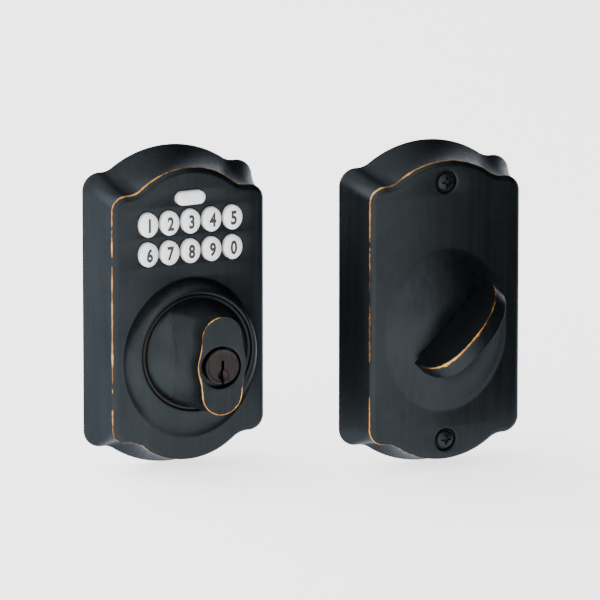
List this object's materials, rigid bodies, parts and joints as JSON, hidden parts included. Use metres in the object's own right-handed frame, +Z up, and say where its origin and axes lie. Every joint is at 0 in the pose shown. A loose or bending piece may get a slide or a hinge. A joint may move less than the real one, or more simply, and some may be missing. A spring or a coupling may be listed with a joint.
{
  "type": "keypad deadbolt lock trim",
  "caption": "Arched metal keypad deadbolt: outside half with number keys and a keyed turn, inside half with a thumbturn.",
  "frame": {"origin": "on the axis of the outside turn, in the plane of the door's outer face", "axes": "+Y into the door along the turn axis, +Z up, +X to the right seen from the user; both halves face -Y"},
  "size_m": [0.1642, 0.1412, 0.1285],
  "materials": {
    "aged_bronze": "satin aged bronze, worn copper edges",
    "key_metal": "satin",
    "plug_face": "brushed dark bronze",
    "brass": "machined",
    "spring_steel": "bright",
    "zinc_steel": "zinc plated",
    "cast_zinc": "as cast",
    "silicone": "matte",
    "foam": "matte foam",
    "circuit_board": "solder mask",
    "black_plastic": "moulded",
    "battery_skin": "satin",
    "nickel": "nickel"
  },
  "bodies": {
    "frame": {"back_gasket": "foam", "backing_plate": "zinc_steel", "battery": "battery_skin", "battery_snap": "black_plastic", "battery_terminals": "nickel", "battery_tray": "black_plastic", "bearing_plate_screws": "zinc_steel", "beeper": "black_plastic", "board_screws": "zinc_steel", "bore_hub": "cast_zinc", "cable_socket": "black_plastic", "clutch_solenoid": "black_plastic", "controller_chip": "black_plastic", "cover_posts": "zinc_steel", "cover_screws": "aged_bronze", "interior_cover": "aged_bronze", "interior_gasket": "foam", "keypad_board": "circuit_board", "keypad_housing": "aged_bronze", "keypad_membrane": "silicone", "mounting_bolts": "zinc_steel", "mounting_posts": "zinc_steel", "plate_screws": "zinc_steel", "support_plate": "zinc_steel", "thumb_washer": "spring_steel", "turn_bearing_plate": "zinc_steel", "turn_seal": "silicone", "turn_washer": "spring_steel"},
    "key_1": {"key_1": "key_metal"},
    "key_2": {"key_2": "key_metal"},
    "key_3": {"key_3": "key_metal"},
    "key_4": {"key_4": "key_metal"},
    "key_5": {"key_5": "key_metal"},
    "key_6": {"key_6": "key_metal"},
    "key_7": {"key_7": "key_metal"},
    "key_8": {"key_8": "key_metal"},
    "key_9": {"key_9": "key_metal"},
    "key_0": {"key_0": "key_metal"},
    "oval_button": {"oval_button": "key_metal"},
    "outside_turn": {"outside_turn": "aged_bronze", "cylinder_shell": "brass", "chamber_cover": "brass", "driver_pins": "brass", "pin_springs": "spring_steel"},
    "key_plug": {"key_plug": "plug_face", "key_pins": "brass", "plug_cap": "brass"},
    "key_clutch_pin": {"key_clutch_pin": "brass"},
    "clutch_pin": {"clutch_pin": "zinc_steel"},
    "solenoid_plunger": {"solenoid_plunger": "zinc_steel"},
    "spindle": {"spindle_cam": "cast_zinc", "tailpiece": "zinc_steel"},
    "thumbturn": {"thumbturn": "aged_bronze", "thumb_spindle": "cast_zinc", "thumb_clip": "spring_steel"}
  },
  "joints": [
    {"name": "key_1_press", "type": "slide", "parent": "frame", "child": "key_1", "axis": [0, 1, 0], "range_m": [0, 0.001], "stiffness_N_per_m": 300},
    {"name": "key_2_press", "type": "slide", "parent": "frame", "child": "key_2", "axis": [0, 1, 0], "range_m": [0, 0.001], "stiffness_N_per_m": 300},
    {"name": "key_3_press", "type": "slide", "parent": "frame", "child": "key_3", "axis": [0, 1, 0], "range_m": [0, 0.001], "stiffness_N_per_m": 300},
    {"name": "key_4_press", "type": "slide", "parent": "frame", "child": "key_4", "axis": [0, 1, 0], "range_m": [0, 0.001], "stiffness_N_per_m": 300},
    {"name": "key_5_press", "type": "slide", "parent": "frame", "child": "key_5", "axis": [0, 1, 0], "range_m": [0, 0.001], "stiffness_N_per_m": 300},
    {"name": "key_6_press", "type": "slide", "parent": "frame", "child": "key_6", "axis": [0, 1, 0], "range_m": [0, 0.001], "stiffness_N_per_m": 300},
    {"name": "key_7_press", "type": "slide", "parent": "frame", "child": "key_7", "axis": [0, 1, 0], "range_m": [0, 0.001], "stiffness_N_per_m": 300},
    {"name": "key_8_press", "type": "slide", "parent": "frame", "child": "key_8", "axis": [0, 1, 0], "range_m": [0, 0.001], "stiffness_N_per_m": 300},
    {"name": "key_9_press", "type": "slide", "parent": "frame", "child": "key_9", "axis": [0, 1, 0], "range_m": [0, 0.001], "stiffness_N_per_m": 300},
    {"name": "key_0_press", "type": "slide", "parent": "frame", "child": "key_0", "axis": [0, 1, 0], "range_m": [0, 0.001], "stiffness_N_per_m": 300},
    {"name": "oval_button_press", "type": "slide", "parent": "frame", "child": "oval_button", "axis": [0, 1, 0], "range_m": [0, 0.001], "stiffness_N_per_m": 300},
    {"name": "turn_spin", "type": "hinge", "parent": "frame", "child": "outside_turn", "pos_m": [0, -0.03, 0], "axis": [0, 1, 0], "continuous": true},
    {"name": "key_turn", "type": "hinge", "parent": "outside_turn", "child": "key_plug", "pos_m": [0, -0.04, 0], "axis": [0, 1, 0], "range_deg": [-90, 90]},
    {"name": "key_clutch_slide", "type": "slide", "parent": "key_plug", "child": "key_clutch_pin", "axis": [0, 1, 0], "range_m": [0, 0.002], "stiffness_N_per_m": 100},
    {"name": "plunger_slide", "type": "slide", "parent": "frame", "child": "solenoid_plunger", "axis": [0, 0, -1], "range_m": [0, 0.0015], "stiffness_N_per_m": 150},
    {"name": "clutch_pin_slide", "type": "slide", "parent": "outside_turn", "child": "clutch_pin", "axis": [0, 0, -1], "range_m": [0, 0.0015], "stiffness_N_per_m": 150},
    {"name": "spindle_turn", "type": "hinge", "parent": "frame", "child": "spindle", "pos_m": [0, 0, 0], "axis": [0, 1, 0], "range_deg": [-90, 90]},
    {"name": "thumbturn_turn", "type": "hinge", "parent": "frame", "child": "thumbturn", "pos_m": [0.0922, -0.0679, 0.01016], "axis": [0, 1, 0], "range_deg": [-45, 45]}
  ],
  "couplings": [
    {"joint": "clutch_pin_slide", "follows": "plunger_slide", "ratio": 1}
  ]
}
